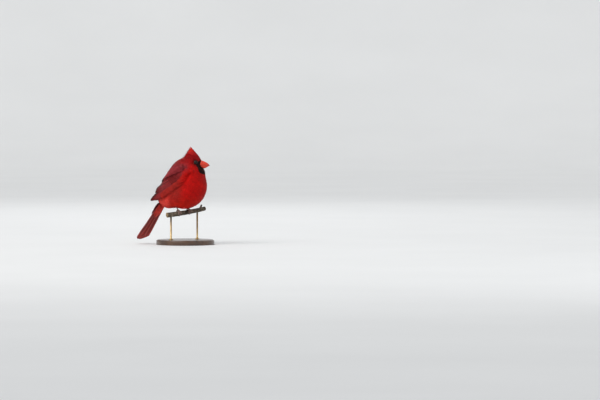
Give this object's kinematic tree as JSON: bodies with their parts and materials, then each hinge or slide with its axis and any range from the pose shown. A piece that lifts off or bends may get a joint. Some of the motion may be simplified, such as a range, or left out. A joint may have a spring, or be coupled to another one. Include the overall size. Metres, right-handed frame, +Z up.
{
  "type": "northern cardinal, male, perched, display model",
  "caption": "Life-size male northern cardinal, fluffed up and at rest on a cut length of branch, held over a round wooden base by short brass rods.",
  "frame": {"origin": "the middle of the stand base's underside", "axes": "+Z up, +X the way the bird's body faces, so that its right side faces -Y"},
  "size_m": [0.1638, 0.116, 0.1962],
  "materials": {
    "plumage": "soft red contour feathers, black round the bill",
    "flight_feathers": "smooth dusky red vanes with brighter red edges",
    "bill": "coral red horn, satin",
    "eye": "near-black brown, wet gloss",
    "legs": "brown scaly skin and dark claws",
    "bark": "rough grey-brown bark with pale cut ends",
    "stand_wood": "dark stained wood, satin varnish",
    "stand_metal": "satin brass"
  },
  "bodies": {
    "root": {"torso": "plumage", "neck": "plumage", "head": "plumage", "crest": "plumage", "bill_upper": "bill", "bill_lower": "bill", "eye_right": "eye", "eye_left": "eye", "wing_right": "flight_feathers", "wing_left": "flight_feathers", "tail": "flight_feathers", "leg_right": "legs", "leg_left": "legs", "perch": "bark", "stand_base": "stand_wood", "stand_rod_near": "stand_metal", "stand_rod_far": "stand_metal"}
  },
  "joints": []
}
